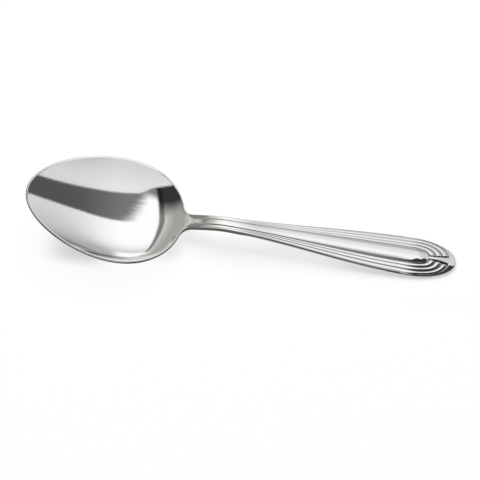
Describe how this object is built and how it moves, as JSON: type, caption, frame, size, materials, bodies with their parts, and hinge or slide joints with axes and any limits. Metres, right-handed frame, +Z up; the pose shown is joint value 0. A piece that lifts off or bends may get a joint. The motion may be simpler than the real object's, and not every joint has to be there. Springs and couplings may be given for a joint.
{
  "type": "tablespoon",
  "caption": "Tablespoon with an egg-shaped bowl, a slim arched neck and a widening handle whose reeded edges frame a raised centre and curl in at the rounded end.",
  "frame": {"origin": "bottom centre of the spoon's bounding box, on the table that it lies on", "axes": "+X from the bowl's tip to the handle's end, +Z up, out of the bowl"},
  "size_m": [0.2, 0.053, 0.0188],
  "materials": {
    "steel": "polished"
  },
  "bodies": {
    "root": {"spoon": "steel"}
  },
  "joints": []
}
